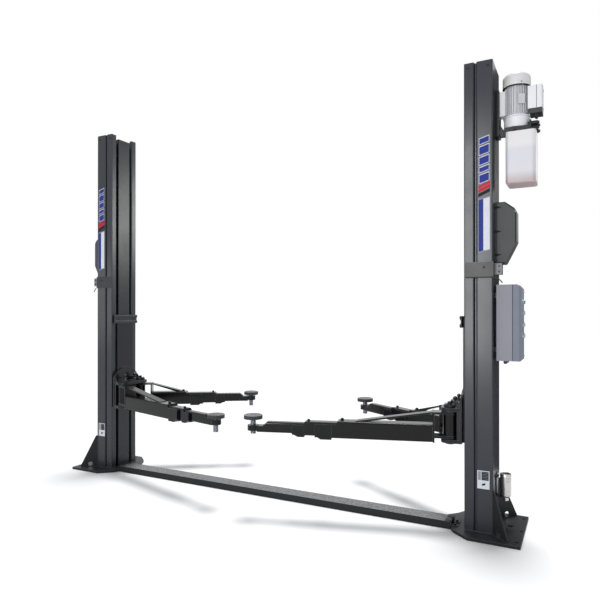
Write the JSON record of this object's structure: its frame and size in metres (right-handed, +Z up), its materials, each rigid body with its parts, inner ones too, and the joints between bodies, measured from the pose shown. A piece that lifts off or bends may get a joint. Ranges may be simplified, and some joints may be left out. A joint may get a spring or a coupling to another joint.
{
  "type": "two post car lift",
  "caption": "Base-frame two post car lift with sliding carriages, swinging three-stage telescopic arms, screw pads, hydraulic power unit and control box.",
  "frame": {"origin": "floor level, midway between the two posts and the four outer anchor holes", "axes": "+X towards the post with the power unit, -Y the front, +Z up"},
  "size_m": [3.695, 1.2138, 2.865],
  "materials": {
    "post_paint": "satin powder coat, anthracite",
    "base_paint": "satin powder coat, anthracite",
    "strip_paint": "satin powder coat, dark grey",
    "cover_tread": "chequer plate, worn grey paint",
    "arm_paint": "gloss powder coat, black",
    "black_plastic": "grained black plastic",
    "black_rubber": "matt black rubber",
    "bright_steel": "zinc plated steel",
    "cast_aluminium": "painted cast aluminium, light grey",
    "cowl_paint": "light grey paint on sheet",
    "block_black": "black anodised aluminium",
    "tank_plastic": "milky white HDPE",
    "box_paint": "fine textured powder coat, grey",
    "key_plastic": "push button plastic"
  },
  "bodies": {
    "frame": {"column_right": "post_paint", "column_left": "post_paint", "base_plate_right": "base_paint", "base_plate_left": "base_paint", "base_gussets": "base_paint", "column_cover_strips": "strip_paint", "floor_cover": "cover_tread", "lock_covers": "black_plastic", "accessory_bands": "arm_paint", "power_unit_bracket": "arm_paint", "motor_body": "cast_aluminium", "motor_fan_cover": "cowl_paint", "motor_terminal_box": "cast_aluminium", "pump_block": "block_black", "oil_tank": "tank_plastic", "control_box": "box_paint", "control_buttons": "key_plastic", "adapter_holder": "arm_paint", "height_adapter": "bright_steel"},
    "carriage_right": {"carriage_right": "arm_paint", "bumper_right": "black_rubber"},
    "carriage_left": {"carriage_left": "arm_paint", "bumper_left": "black_rubber"},
    "arm_outer_front_right": {"arm_outer_front_right": "arm_paint"},
    "arm_middle_front_right": {"arm_middle_front_right": "arm_paint"},
    "arm_inner_front_right": {"arm_inner_front_right": "arm_paint"},
    "pad_front_right": {"pad_screw_front_right": "bright_steel", "pad_rubber_front_right": "black_rubber"},
    "lock_pin_front_right": {"lock_pin_front_right": "arm_paint"},
    "arm_outer_front_left": {"arm_outer_front_left": "arm_paint"},
    "arm_middle_front_left": {"arm_middle_front_left": "arm_paint"},
    "arm_inner_front_left": {"arm_inner_front_left": "arm_paint"},
    "pad_front_left": {"pad_screw_front_left": "bright_steel", "pad_rubber_front_left": "black_rubber"},
    "lock_pin_front_left": {"lock_pin_front_left": "arm_paint"},
    "arm_outer_rear_right": {"arm_outer_rear_right": "arm_paint"},
    "arm_middle_rear_right": {"arm_middle_rear_right": "arm_paint"},
    "arm_inner_rear_right": {"arm_inner_rear_right": "arm_paint"},
    "pad_rear_right": {"pad_screw_rear_right": "bright_steel", "pad_rubber_rear_right": "black_rubber"},
    "lock_pin_rear_right": {"lock_pin_rear_right": "arm_paint"},
    "arm_outer_rear_left": {"arm_outer_rear_left": "arm_paint"},
    "arm_middle_rear_left": {"arm_middle_rear_left": "arm_paint"},
    "arm_inner_rear_left": {"arm_inner_rear_left": "arm_paint"},
    "pad_rear_left": {"pad_screw_rear_left": "bright_steel", "pad_rubber_rear_left": "black_rubber"},
    "lock_pin_rear_left": {"lock_pin_rear_left": "arm_paint"}
  },
  "joints": [
    {"name": "carriage_right_lift", "type": "slide", "parent": "frame", "child": "carriage_right", "axis": [0, 0, 1], "range_m": [-0.44, 1.3]},
    {"name": "carriage_left_lift", "type": "slide", "parent": "frame", "child": "carriage_left", "axis": [0, 0, 1], "range_m": [-0.44, 1.3]},
    {"name": "arm_front_right_swing", "type": "hinge", "parent": "carriage_right", "child": "arm_outer_front_right", "pos_m": [1.367, -0.1, 0.64], "axis": [0, 0, 1], "range_deg": [-16.8, 73.2]},
    {"name": "arm_front_right_stage_two", "type": "slide", "parent": "arm_outer_front_right", "child": "arm_middle_front_right", "axis": [-0.9573, -0.289, 0], "range_m": [-0.055, 0.145]},
    {"name": "arm_front_right_stage_three", "type": "slide", "parent": "arm_middle_front_right", "child": "arm_inner_front_right", "axis": [-0.9573, -0.289, 0], "range_m": [-0.19, 0.07]},
    {"name": "pad_front_right_screw", "type": "slide", "parent": "arm_inner_front_right", "child": "pad_front_right", "axis": [0, 0, 1], "range_m": [-0.034, 0.02]},
    {"name": "lock_pin_front_right_pull", "type": "slide", "parent": "carriage_right", "child": "lock_pin_front_right", "axis": [0, 0, 1], "range_m": [0, 0.03], "stiffness_N_per_m": 300, "springref_m": -0.02},
    {"name": "arm_front_left_swing", "type": "hinge", "parent": "carriage_left", "child": "arm_outer_front_left", "pos_m": [-1.367, -0.1, 0.64], "axis": [0, 0, -1], "range_deg": [-15.5, 74.5]},
    {"name": "arm_front_left_stage_two", "type": "slide", "parent": "arm_outer_front_left", "child": "arm_middle_front_left", "axis": [0.9636, -0.2672, 0], "range_m": [-0.031, 0.169]},
    {"name": "arm_front_left_stage_three", "type": "slide", "parent": "arm_middle_front_left", "child": "arm_inner_front_left", "axis": [0.9636, -0.2672, 0], "range_m": [-0.177, 0.083]},
    {"name": "pad_front_left_screw", "type": "slide", "parent": "arm_inner_front_left", "child": "pad_front_left", "axis": [0, 0, 1], "range_m": [-0.004, 0.05]},
    {"name": "lock_pin_front_left_pull", "type": "slide", "parent": "carriage_left", "child": "lock_pin_front_left", "axis": [0, 0, 1], "range_m": [0, 0.03], "stiffness_N_per_m": 300, "springref_m": -0.02},
    {"name": "arm_rear_right_swing", "type": "hinge", "parent": "carriage_right", "child": "arm_outer_rear_right", "pos_m": [1.367, 0.1, 0.64], "axis": [0, 0, -1], "range_deg": [-32.2, 57.8]},
    {"name": "arm_rear_right_stage_two", "type": "slide", "parent": "arm_outer_rear_right", "child": "arm_middle_rear_right", "axis": [-0.8462, 0.5329, 0], "range_m": [-0.045, 0.155]},
    {"name": "arm_rear_right_stage_three", "type": "slide", "parent": "arm_middle_rear_right", "child": "arm_inner_rear_right", "axis": [-0.8462, 0.5329, 0], "range_m": [-0.209, 0.051]},
    {"name": "pad_rear_right_screw", "type": "slide", "parent": "arm_inner_rear_right", "child": "pad_rear_right", "axis": [0, 0, 1], "range_m": [-0.022, 0.032]},
    {"name": "lock_pin_rear_right_pull", "type": "slide", "parent": "carriage_right", "child": "lock_pin_rear_right", "axis": [0, 0, 1], "range_m": [0, 0.03], "stiffness_N_per_m": 300, "springref_m": -0.02},
    {"name": "arm_rear_left_swing", "type": "hinge", "parent": "carriage_left", "child": "arm_outer_rear_left", "pos_m": [-1.367, 0.1, 0.64], "axis": [0, 0, 1], "range_deg": [-32.4, 57.6]},
    {"name": "arm_rear_left_stage_two", "type": "slide", "parent": "arm_outer_rear_left", "child": "arm_middle_rear_left", "axis": [0.8443, 0.5358, 0], "range_m": [-0.095, 0.105]},
    {"name": "arm_rear_left_stage_three", "type": "slide", "parent": "arm_middle_rear_left", "child": "arm_inner_rear_left", "axis": [0.8443, 0.5358, 0], "range_m": [-0.153, 0.107]},
    {"name": "pad_rear_left_screw", "type": "slide", "parent": "arm_inner_rear_left", "child": "pad_rear_left", "axis": [0, 0, 1], "range_m": [-0.005, 0.049]},
    {"name": "lock_pin_rear_left_pull", "type": "slide", "parent": "carriage_left", "child": "lock_pin_rear_left", "axis": [0, 0, 1], "range_m": [0, 0.03], "stiffness_N_per_m": 300, "springref_m": -0.02}
  ],
  "couplings": [
    {"joint": "carriage_left_lift", "follows": "carriage_right_lift", "ratio": 1}
  ]
}
